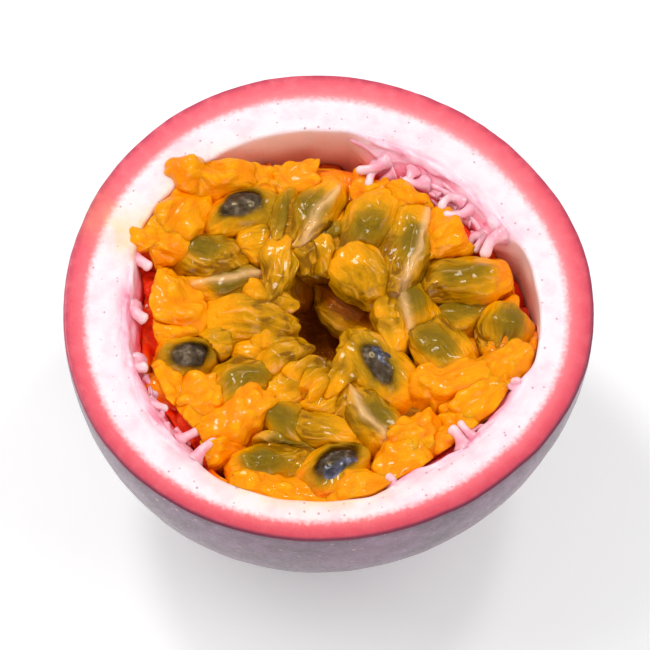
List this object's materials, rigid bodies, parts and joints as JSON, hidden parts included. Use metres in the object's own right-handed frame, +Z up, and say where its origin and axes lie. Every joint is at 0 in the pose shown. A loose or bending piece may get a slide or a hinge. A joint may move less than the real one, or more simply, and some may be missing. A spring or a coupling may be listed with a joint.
{
  "type": "passion fruit half",
  "caption": "Half of a round purple fruit with its cut face up: a leathery shell with a thick pale wall, filled with pulp and seed sacs.",
  "frame": {"origin": "centre of the small flat spot at the bottom of the shell, which the half stands on", "axes": "+Z up, square to the cut face, which is level; -Y towards the usual view, where the shell wall is thinnest"},
  "size_m": [0.06, 0.06, 0.032],
  "materials": {
    "shell": "satin, purple outside; red to white at the cut",
    "pulp": "wet, orange to olive yellow",
    "seed": "wet, pitted, near black",
    "funicle": "moist, pink to white"
  },
  "bodies": {
    "root": {"shell": "shell", "pulp": "pulp"}
  },
  "joints": []
}
